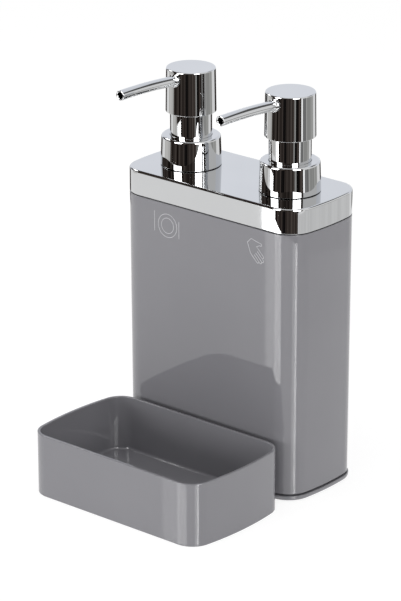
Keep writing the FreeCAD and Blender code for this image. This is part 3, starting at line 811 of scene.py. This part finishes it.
def start_tree(name, kinds):
    """A tree with an input for each label and kind. Returns the tree, its identifiers and its inputs."""
    tree = bpy.data.node_groups.new(name, "GeometryNodeTree")
    sockets = {}
    for label, kind in kinds.items():
        socket = tree.interface.new_socket(name=label, in_out="INPUT", socket_type="NodeSocket" + kind)
        sockets[label] = socket.identifier
    tree.interface.new_socket(name="Geometry", in_out="OUTPUT", socket_type="NodeSocketGeometry")
    return tree, sockets, tree.nodes.new("NodeGroupInput").outputs


def add_tube(tree, curve, radius, steps):
    """Carry a round section along a curve."""
    values = {"Resolution": steps, "Radius": radius}
    section = add_node(tree, "GeometryNodeCurvePrimitiveCircle", values).outputs["Curve"]
    values = {"Curve": curve, "Profile Curve": section, "Fill Caps": True}
    return add_node(tree, "GeometryNodeCurveToMesh", values).outputs["Mesh"]


def end_tree(tree, geometry, finish):
    """Realize the geometry, paint it and make it the tree's result."""
    plain = add_node(tree, "GeometryNodeRealizeInstances", {"Geometry": geometry}).outputs["Geometry"]
    values = {"Geometry": plain, "Material": finish}
    painted = add_node(tree, "GeometryNodeSetMaterial", values).outputs["Geometry"]
    add_node(tree, "NodeGroupOutput", {"Geometry": painted})


def grow(name, tree, sockets, values, source=None):
    """Run a node tree on an empty mesh or a curve, and return the result as a plain mesh."""
    carrier = source or bpy.data.objects.new(name + "_carrier", bpy.data.meshes.new(name + "_start"))
    scene.collection.objects.link(carrier)
    modifier = carrier.modifiers.new(name, "NODES")
    modifier.node_group = tree
    for label, value in values.items():
        modifier[sockets[label]] = value
    bpy.context.view_layer.update()
    evaluated = carrier.evaluated_get(bpy.context.evaluated_depsgraph_get())
    mesh = bpy.data.meshes.new_from_object(evaluated)
    mesh.name = name
    mesh.polygons.foreach_set("use_smooth", [True] * len(mesh.polygons))
    carrier.modifiers.remove(modifier)
    bpy.data.objects.remove(carrier)
    return mesh


print("tree helpers ready")

# %% [markdown]
# One tree for threads and springs
#
# A thread and a coil spring are both a wire along a helix, so one tree makes both. It winds a spiral curve,
# gives it a round section, and sets copies in a row along X. The Screw modifier could wind a single wire,
# but the tree takes every size as an input and makes the threads of both necks at once.

# %% Build the winding tree
TURN_STEPS = 48
WIRE_STEPS = 14
WINDING_SIZES = ("Radius", "Lead", "Turns", "Wire radius", "Bottom", "First x", "Spacing")


def make_winding_tree():
    kinds = {**dict.fromkeys(WINDING_SIZES, "Float"), "Copies": "Int", "Finish": "Material"}
    tree, sockets, sizes = start_tree("winding", kinds)
    height = add_node(tree, "ShaderNodeMath", {0: sizes["Lead"], 1: sizes["Turns"]}, operation="MULTIPLY")
    spiral = add_node(tree, "GeometryNodeCurveSpiral", {
        "Resolution": TURN_STEPS,
        "Reverse": True,
        "Rotations": sizes["Turns"],
        "Start Radius": sizes["Radius"],
        "End Radius": sizes["Radius"],
        "Height": height.outputs[0],
    })
    tube = add_tube(tree, spiral.outputs["Curve"], sizes["Wire radius"], WIRE_STEPS)
    start = add_node(tree, "ShaderNodeCombineXYZ", {"X": sizes["First x"], "Z": sizes["Bottom"]})
    step = add_node(tree, "ShaderNodeCombineXYZ", {"X": sizes["Spacing"]})
    row = add_node(tree, "GeometryNodeMeshLine", {
        "Count": sizes["Copies"],
        "Start Location": start.outputs[0],
        "Offset": step.outputs[0],
    })
    values = {"Points": row.outputs["Mesh"], "Instance": tube}
    copies = add_node(tree, "GeometryNodeInstanceOnPoints", values).outputs["Instances"]
    end_tree(tree, copies, sizes["Finish"])
    return tree, sockets


winding_tree, winding_sockets = make_winding_tree()
print("winding inputs:", list(winding_sockets))

# %% [markdown]
# Thread ridges
#
# The necks carry a round ridge of one and a half turns, and each collar has its own ridge inside, half a
# lead higher. They show when a collar is unscrewed. A real thread has sloping flanks, but at this size a
# round ridge looks the same and is simpler to wind.

# %% Wind the threads
THREAD_LEAD, NECK_TURNS, COLLAR_TURNS = 4.2 * MM, 1.5, 1.25
NECK_RIDGE, COLLAR_RIDGE = 1.0 * MM, 0.75 * MM
thread_start = lid_top + NECK_RIDGE + COLLAR_GAP


def wind(name, finish, copies=1, spacing=0.0, **sizes):
    """One winding, or a row of copies, with the tree's other inputs given by name."""
    values = {key.replace("_", " ").capitalize(): value for key, value in sizes.items()}
    values.update({"Copies": copies, "Spacing": spacing, "Finish": finish})
    return grow(name, winding_tree, winding_sockets, values)


neck_threads = wind(
    "neck_threads",
    chrome,
    copies=len(SIDES),
    spacing=pump_x["right"] - pump_x["left"],
    radius=NECK_RADIUS,
    lead=THREAD_LEAD,
    turns=NECK_TURNS,
    wire_radius=NECK_RIDGE,
    bottom=thread_start,
    first_x=pump_x["left"],
)
dress(neck_threads, "tank", "chrome_plate")
for side in SIDES:
    ridge = wind(
        side + "_collar_thread",
        chrome,
        radius=COLLAR_BORE,
        lead=THREAD_LEAD,
        turns=COLLAR_TURNS,
        wire_radius=COLLAR_RIDGE,
        bottom=thread_start + THREAD_LEAD / 2,
        first_x=pump_x[side],
    )
    dress(ridge, side + "_collar", "chrome_plate")

# %% [markdown]
# Return springs
#
# The spring stands in the pump's cylinder under the piston. It rides on the pump's body and has a mesh of
# its own.

# %% Wind the springs
SPRING_TURNS = 7.0
SPRING_WIRE = 1.0 * MM

for side in SIDES:
    low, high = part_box(side + "_spring")
    length = high.z - low.z
    coil = wind(
        side + "_return_spring",
        spring_steel,
        radius=(high.x - low.x - SPRING_WIRE) / 2,
        lead=(length - SPRING_WIRE) / SPRING_TURNS,
        turns=SPRING_TURNS,
        wire_radius=SPRING_WIRE / 2,
        bottom=low.z + SPRING_WIRE / 2,
        first_x=pump_x[side],
    )
    piece = dress(coil, side + "_pump", "spring_steel", side + "_spring")
    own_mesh(piece)

# %% [markdown]
# Signs on the front
#
# Thin pale lines tell the two soaps apart: a plate with a fork and a knife over the dish soap, and a hand
# over the hand soap. They are plain signs drawn with a few curves. A node tree gives the curves a fine
# round section. A picture on the wall could do it too, but lines of geometry stay sharp close up.

# %% Ink and line tree
LINE_RADIUS = 0.17 * MM
LINE_STEPS = 8
sign_print = make_finish(
    "sign_print",
    ior=1.48,
    colour=dict(scale=800, detail=3, dark=(0.44, 0.44, 0.46), light=(0.54, 0.54, 0.56)),
    gloss=dict(scale=1200, detail=2, low=0.30, high=0.45),
)
line_kinds = {"Lines": "Geometry", "Line radius": "Float", "Finish": "Material"}
line_tree, line_sockets, line_inputs = start_tree("sign_lines", line_kinds)
line_tube = add_tube(line_tree, line_inputs["Lines"], line_inputs["Line radius"], LINE_STEPS)
end_tree(line_tree, line_tube, line_inputs["Finish"])
print("line inputs:", list(line_sockets))

# %% Draw the plate with its fork and knife
PLATE_AT, PLATE_RADII = (-27.7 * MM, 145.85 * MM), (6.9 * MM, 4.5 * MM)
FORK_X, FORK_SPAN = -37.4 * MM, (140.9 * MM, 152.9 * MM)
KNIFE_X, KNIFE_SPAN = -19.2 * MM, (139.8 * MM, 150.0 * MM)
PLATE_STEPS = 48


def new_sign(name):
    curve = bpy.data.curves.new(name, "CURVE")
    curve.dimensions = "3D"
    return curve


def add_stroke(curve, points, closed=False):
    """One line of a sign through (x, z) points."""
    spline = curve.splines.new("POLY")
    spline.points.add(len(points) - 1)
    for place, (x, z) in zip(spline.points, points):
        place.co = (x, 0, z, 1)
    spline.use_cyclic_u = closed


def round_stroke(middle, radius):
    angles = [2 * math.pi * step / PLATE_STEPS for step in range(PLATE_STEPS)]
    return [(middle[0] + radius * math.cos(a), middle[1] + radius * math.sin(a)) for a in angles]


dish_lines = new_sign("dish_lines")
for radius in PLATE_RADII:
    add_stroke(dish_lines, round_stroke(PLATE_AT, radius), closed=True)
for x, span in ((FORK_X, FORK_SPAN), (KNIFE_X, KNIFE_SPAN)):
    add_stroke(dish_lines, [(x, z) for z in span])
print("strokes of the dish sign:", len(dish_lines.splines))

# %% [markdown]
# The hand
#
# The hand is one outline with four closed fingers and a thumb, and short lines between the fingers. Its
# points are given along the fingers and across them, so the whole hand turns with one angle.

# %% Draw the hand
PALM_AT, FINGER_ANGLE = (36 * MM, 147 * MM), math.radians(-45)
FINGER_WIDTH, FINGER_REACH = 1.6 * MM, (7.6 * MM, 9.0 * MM, 9.3 * MM, 7.7 * MM)
FINGERS_START, PALM_EDGE, THUMB_CROTCH = 2.4 * MM, 0.3 * MM, 0.1 * MM
WRIST_AT, WRIST_SIDES = -5.4 * MM, (-1.6 * MM, 2.2 * MM)
THUMB_BEND, THUMB_TIP, THUMB_RADIUS = (-2.0 * MM, 4.2 * MM), (1.0 * MM, 5.4 * MM), 0.8 * MM
TIP_STEPS = 8


def on_palm(along, across):
    """A place on the hand, along the fingers and across them, as (x, z) on the front."""
    reach, lean = math.cos(FINGER_ANGLE), math.sin(FINGER_ANGLE)
    return (PALM_AT[0] + along * reach - across * lean, PALM_AT[1] + along * lean + across * reach)


def tip_stroke(along, across, radius):
    """Half a circle round a tip, from its far side to its thumb side."""
    angles = [math.pi * step / TIP_STEPS for step in range(TIP_STEPS + 1)]
    return [on_palm(along + radius * math.sin(a), across - radius * math.cos(a)) for a in angles]


def hand_strokes():
    """The outline of the hand, and the lines between its fingers."""
    far_side = WRIST_SIDES[1] - len(FINGER_REACH) * FINGER_WIDTH
    half = FINGER_WIDTH / 2
    tips = [reach - half for reach in FINGER_REACH]
    outline = [on_palm(WRIST_AT, WRIST_SIDES[0]), on_palm(PALM_EDGE, far_side)]
    lines = []
    for number, tip in enumerate(tips):
        edge = far_side + number * FINGER_WIDTH
        outline += tip_stroke(tip, edge + half, half)
        if number > 0:
            lines.append([on_palm(min(tip, tips[number - 1]), edge), on_palm(FINGERS_START, edge)])
    outline.append(on_palm(THUMB_CROTCH, WRIST_SIDES[1]))
    outline += tip_stroke(*THUMB_TIP, THUMB_RADIUS)
    outline += [on_palm(*THUMB_BEND), on_palm(WRIST_AT, WRIST_SIDES[1])]
    return outline, lines


hand_lines = new_sign("hand_lines")
hand_outline, finger_lines = hand_strokes()
add_stroke(hand_lines, hand_outline, closed=True)
for line in finger_lines:
    add_stroke(hand_lines, line)
print("strokes of the hand sign:", len(hand_lines.splines))

# %% [markdown]
# Ink on a sloping wall
#
# Printed ink is thin and follows the wall, so the round lines are pressed nearly flat and leaned with the
# front. Shrinkwrap could lay them on any wall, but this front is flat, and one matrix does both.

# %% Press the signs on
LINE_PRESS = 0.15


def press_on_front(mesh):
    slope = TANK_DRAFT / (tank_top - tank_low.z)
    lean = Matrix.Identity(4)
    lean[1][1] = LINE_PRESS
    lean[1][2] = -slope
    lean[1][3] = -TANK_DEPTH / 2 + slope * tank_top
    mesh.transform(lean)
    return mesh


for name, lines in (("dish_sign", dish_lines), ("hand_sign", hand_lines)):
    source = bpy.data.objects.new(name + "_source", lines)
    values = {"Line radius": LINE_RADIUS, "Finish": sign_print}
    sign = grow(name, line_tree, line_sockets, values, source)
    dress(press_on_front(sign), "tank", "grey_gloss", finish=sign_print)

# %% [markdown]
# Light table and studio
#
# The caddy stands on a white table under soft light. The table and the world are white where the camera or
# a reflection looks at them, and a little darker where they only light the object, so that its own colours
# hold. The table also glows by itself, because lamps shine on it from below, and a reflection sees a little
# through it.

# %% Make the table's finish
SEEN_SHADE, SEEN_GLOW = 0.26, 0.84
PAPER_SHADE, PAPER_GLOW = 0.86, 0.35
TABLE_CLARITY = 0.2


def empty_material(name):
    material = bpy.data.materials.new(name)
    material.use_nodes = True
    material.node_tree.nodes.clear()
    return material


def looked_at(tree):
    """1 for rays from the camera, from mirrors and through glass, and 0 for the rest."""
    path = add_node(tree, "ShaderNodeLightPath").outputs
    total = path["Is Camera Ray"]
    for name in ("Is Glossy Ray", "Is Transmission Ray"):
        total = add_node(tree, "ShaderNodeMath", {0: total, 1: path[name]}, operation="MAXIMUM").outputs[0]
    return total


def glowing_paper(tree, shade, glow):
    paper = add_node(tree, "ShaderNodeBsdfDiffuse", {"Color": (shade, shade, shade, 1)}).outputs[0]
    lamp = add_node(tree, "ShaderNodeEmission", {"Strength": glow}).outputs[0]
    return add_node(tree, "ShaderNodeAddShader", {0: paper, 1: lamp}).outputs[0]


def make_table_finish():
    material = empty_material("light_table")
    tree = material.node_tree
    lit = glowing_paper(tree, PAPER_SHADE, PAPER_GLOW)
    seen = glowing_paper(tree, SEEN_SHADE, SEEN_GLOW)
    top = add_node(tree, "ShaderNodeMixShader", {0: looked_at(tree), 1: lit, 2: seen}).outputs[0]
    mirrored = add_node(tree, "ShaderNodeLightPath").outputs["Is Glossy Ray"]
    values = {0: mirrored, 1: TABLE_CLARITY}
    share = add_node(tree, "ShaderNodeMath", values, operation="MULTIPLY").outputs[0]
    clear = add_node(tree, "ShaderNodeBsdfTransparent").outputs[0]
    table = add_node(tree, "ShaderNodeMixShader", {0: share, 1: top, 2: clear}).outputs[0]
    add_node(tree, "ShaderNodeOutputMaterial", {"Surface": table})
    return material


table_finish = make_table_finish()
print(table_finish.name)

# %% Set the table
TABLE_SIZE = 8.0


def set_stage(name, points, faces, finish):
    """A mesh that belongs to the studio and not to the caddy."""
    mesh = bpy.data.meshes.new(name)
    mesh.from_pydata(points, [], faces)
    mesh.materials.append(finish)
    thing = bpy.data.objects.new(name, mesh)
    scene.collection.objects.link(thing)
    return thing


half = TABLE_SIZE / 2
table_corners = [(-half, -half, 0), (half, -half, 0), (half, half, 0), (-half, half, 0)]
floor = set_stage("floor", table_corners, [(0, 1, 2, 3)], table_finish)
print(floor.name, "is", TABLE_SIZE, "m wide")

# %% Make the world
WORLD_LIGHT = 0.50


def make_world():
    world = bpy.data.worlds.new("studio")
    world.use_nodes = True
    scene.world = world
    tree = world.node_tree
    level = {"Value": looked_at(tree), "To Min": WORLD_LIGHT, "To Max": 1.0}
    strength = add_node(tree, "ShaderNodeMapRange", level).outputs["Result"]
    sky = tree.nodes["Background"].inputs
    sky["Color"].default_value = (1, 1, 1, 1)
    tree.links.new(strength, sky["Strength"])


make_world()
print("world:", scene.world.name)

# %% [markdown]
# Soft lamps
#
# Three softboxes give the form a gentle direction: one from the front left, one from the right and a weak
# one from above. Reflections don't see them, because the cards below decide what the chrome shows.

# %% Hang the lamps
AIM = (0, -40 * MM, 100 * MM)
TOP_AIM = (0, -0.3, 0)
# Name, place, size, power in watts, aim
SOFTBOXES = (
    ("key_softbox", (-0.7, -1.9, 0.30), (1.3, 0.5), 15.5, AIM),
    ("fill_softbox", (1.95, -0.2, 0.48), (1.3, 0.5), 10.3, AIM),
    ("top_softbox", (0, -0.3, 1.2), (1.2, 1.0), 3.8, TOP_AIM),
)


def aimed(place, aim):
    """The turn that points a lamp or a camera from a place at its aim."""
    return (Vector(aim) - Vector(place)).to_track_quat("-Z", "Y")


for name, place, size, power, aim in SOFTBOXES:
    light = bpy.data.lights.new(name, "AREA")
    light.shape = "RECTANGLE"
    light.size, light.size_y = size
    light.energy = power
    lamp = bpy.data.objects.new(name, light)
    lamp.location = place
    lamp.rotation_euler = aimed(place, aim).to_euler()
    lamp.visible_glossy = False
    scene.collection.objects.link(lamp)
print("lamps:", [light.name for light in bpy.data.lights])

# %% [markdown]
# Camera
#
# A long lens from the front right and a little above, as in the photograph: the upright edges stay almost
# parallel. An orthographic camera would come close, but a little perspective is left in the photograph.

# %% Place the camera
CAMERA_AT = Vector((1137.3, -1347.7, 756.5)) * MM
CAMERA_AIM = Vector((-7.96, -24.8, 104.25)) * MM
LENS = 198.21
SENSOR = 36.0
ROLL = math.radians(-0.109)

camera_data = bpy.data.cameras.new("camera")
camera_data.lens = LENS
camera_data.sensor_fit = "VERTICAL"
camera_data.sensor_height = SENSOR
camera = bpy.data.objects.new("camera", camera_data)
camera.location = CAMERA_AT
turn = aimed(CAMERA_AT, CAMERA_AIM).to_matrix() @ Matrix.Rotation(ROLL, 3, "Z")
camera.rotation_euler = turn.to_euler()
scene.collection.objects.link(camera)
scene.camera = camera
scene.view_settings.view_transform = "Standard"
print("camera at", [round(v, 3) for v in camera.location])

# %% [markdown]
# Cards for the chrome
#
# Chrome in a white room is only white, so a photographer stands dark and pale cards round it. Seen from
# slightly above, an upright chrome wall mirrors what stands on the floor half a metre away: a dark room
# behind the camera, with a tall white panel on either side of it. Every card glows between two levels, in
# slow upright streaks. A painted world could stand in for them, but cards are near, as in a real studio, so
# each piece mirrors them a little differently.

# %% Card finishes
STREAKS, FINE_STREAKS = 18, 40
STREAK_DETAIL, STREAK_STRETCH, STREAK_ENDS = 4, (1, 1, 0.02), (0.38, 0.68)


def grey(level):
    return (level, level, level)


CARD_LEVELS = {
    "black_card": (grey(0.003), (0.012, 0.010, 0.010)),
    "dark_room": ((0.008, 0.005, 0.004), (0.110, 0.090, 0.080)),
    "slate_card": (grey(0.06), grey(0.20)),
    "dim_card": (grey(0.12), grey(0.34)),
    "grey_card": ((0.34, 0.34, 0.33), (0.62, 0.62, 0.60)),
    "pale_card": ((0.62, 0.61, 0.59), (0.92, 0.91, 0.89)),
    "streaky_card": (grey(0.77), grey(0.88), FINE_STREAKS),
    "white_card": ((0.90, 0.90, 0.89), grey(1.20)),
    "blue_card": ((0.98, 1.01, 1.08), (1.01, 1.04, 1.11)),
    "bright_card": (grey(1.35), grey(1.7)),
    "tray_white": (grey(5.5), grey(6.5)),
    "white_panel": (grey(7.5), grey(8.5)),
    "faint_lamp": (grey(5), grey(6)),
    "soft_lamp": (grey(8), grey(11)),
    "low_lamp": (grey(11), grey(14)),
    "table_lamp": (grey(16), grey(21)),
    "bright_lamp": (grey(24), grey(29)),
}


def make_card_finish(name, dark, light, streaks=STREAKS):
    """A glow whose level wanders from dark to light in upright streaks."""
    material = empty_material(name)
    tree = material.node_tree
    noise = dict(scale=streaks, detail=STREAK_DETAIL, stretch=STREAK_STRETCH)
    colour = uneven_colour(tree, dark, light, STREAK_ENDS, **noise)
    glow = add_node(tree, "ShaderNodeEmission", {"Color": colour}).outputs[0]
    add_node(tree, "ShaderNodeOutputMaterial", {"Surface": glow})
    return material


card_finishes = {name: make_card_finish(name, *levels) for name, levels in CARD_LEVELS.items()}
print("card finishes:", len(card_finishes))

# %% [markdown]
# Standing cards
#
# A card is a piece of a round wall about the caddy, given by its bearings from the camera, its heights and
# its distance. Only reflections see it: it casts no shadow and doesn't light the object. The lid mirrors
# the lowest strip of the wall, the sleeves a higher one and the heads the highest. The lamps below the
# table stand further out, and the tank and the tray mirror them through it as soft grey bands.

# %% Stand the cards
CARD_STEPS = 24
WALL_DISTANCE, PANEL_DISTANCE, TRAY_DISTANCE, LID_DISTANCE, LAMP_DISTANCE = 0.49, 0.48, 0.47, 0.40, 2.0
LID_SIGHT, SLEEVE_SIGHT, HEAD_SIGHT = 30 * MM, 56 * MM, 115 * MM
ROOM_TOP, PANEL_FOOT, PANEL_TOP = 1.2, 0.19, 0.66
TOP_CARD_FOOT, SLATE_FOOT = 0.45, 0.42
PUMP_STRIP, PANEL_STRIP = (LID_SIGHT, HEAD_SIGHT), (PANEL_FOOT, PANEL_TOP)
LID_STRIP, TRAY_PANEL_STRIP = (0.015, 0.056), (0.43, 0.60)
TANK_STRIP, TRAY_STRIP, SIDE_STRIP = (-0.79, -0.1), (-1.3, -0.79), (-1.3, -0.1)
camera_bearing = math.atan2(CAMERA_AT.y - CAMERA_AIM.y, CAMERA_AT.x - CAMERA_AIM.x)

# Name, finish, bearings in degrees, heights, distance
CARDS = (
    ("room_card", "dark_room", (-62, 29), (0, ROOM_TOP), WALL_DISTANCE),
    ("room_core_card", "black_card", (-30, -17), (0, HEAD_SIGHT), PANEL_DISTANCE),
    ("room_line_card", "grey_card", (18, 24), PUMP_STRIP, PANEL_DISTANCE),
    ("room_gap_card", "black_card", (24, 33), PUMP_STRIP, PANEL_DISTANCE),
    ("left_panel", "white_panel", (-70.5, -41), PANEL_STRIP, PANEL_DISTANCE),
    ("left_room_card", "dark_room", (-88, -62), (SLEEVE_SIGHT, ROOM_TOP), WALL_DISTANCE),
    ("left_pale_card", "pale_card", (-120, -88), PUMP_STRIP, WALL_DISTANCE),
    ("left_white_card", "white_card", (-150, -120), PUMP_STRIP, WALL_DISTANCE),
    ("left_high_card", "dark_room", (-140, -88), (PANEL_FOOT, ROOM_TOP), PANEL_DISTANCE),
    ("left_top_card", "dark_room", (-170, -140), (TOP_CARD_FOOT, ROOM_TOP), PANEL_DISTANCE),
    ("tray_panel", "tray_white", (-142, -114), TRAY_PANEL_STRIP, TRAY_DISTANCE),
    ("right_panel", "white_panel", (13, 40), PANEL_STRIP, PANEL_DISTANCE),
    ("right_room_card", "dark_room", (29, 48), (LID_SIGHT, ROOM_TOP), WALL_DISTANCE),
    ("right_bright_card", "bright_card", (48, 54), PUMP_STRIP, WALL_DISTANCE),
    ("right_dim_card", "dim_card", (54, 70), PUMP_STRIP, WALL_DISTANCE),
    ("right_grey_card", "grey_card", (70, 114), PUMP_STRIP, WALL_DISTANCE),
    ("right_high_card", "slate_card", (90, 130), (SLATE_FOOT, PANEL_TOP), PANEL_DISTANCE),
    ("lid_side_card", "streaky_card", (30, 116), LID_STRIP, LID_DISTANCE),
    ("back_blue_card", "blue_card", (110, 250), (HEAD_SIGHT, ROOM_TOP), WALL_DISTANCE),
    ("back_dark_card", "dark_room", (140, 220), (0, HEAD_SIGHT), WALL_DISTANCE),
    ("left_soft_lamp", "soft_lamp", (-79.17, -67), TANK_STRIP, LAMP_DISTANCE),
    ("left_lamp", "table_lamp", (-67, -38.5), TANK_STRIP, LAMP_DISTANCE),
    ("right_soft_lamp", "soft_lamp", (9, 20), SIDE_STRIP, LAMP_DISTANCE),
    ("right_lamp", "bright_lamp", (20, 28.5), SIDE_STRIP, LAMP_DISTANCE),
    ("low_soft_lamp", "faint_lamp", (-79.55, -79), TRAY_STRIP, LAMP_DISTANCE),
    ("low_left_lamp", "low_lamp", (-79, -29.5), TRAY_STRIP, LAMP_DISTANCE),
)

for name, finish, (start, end), heights, distance in CARDS:
    points = []
    for step in range(CARD_STEPS + 1):
        angle = camera_bearing + math.radians(start + (end - start) * step / CARD_STEPS)
        points += [(distance * math.cos(angle), distance * math.sin(angle), height) for height in heights]
    faces = [(low, low + 2, low + 3, low + 1) for low in range(0, 2 * CARD_STEPS, 2)]
    card = set_stage(name, points, faces, card_finishes[finish])
    card.visible_camera = False
    card.visible_diffuse = False
    card.visible_shadow = False
print("cards:", len(CARDS))
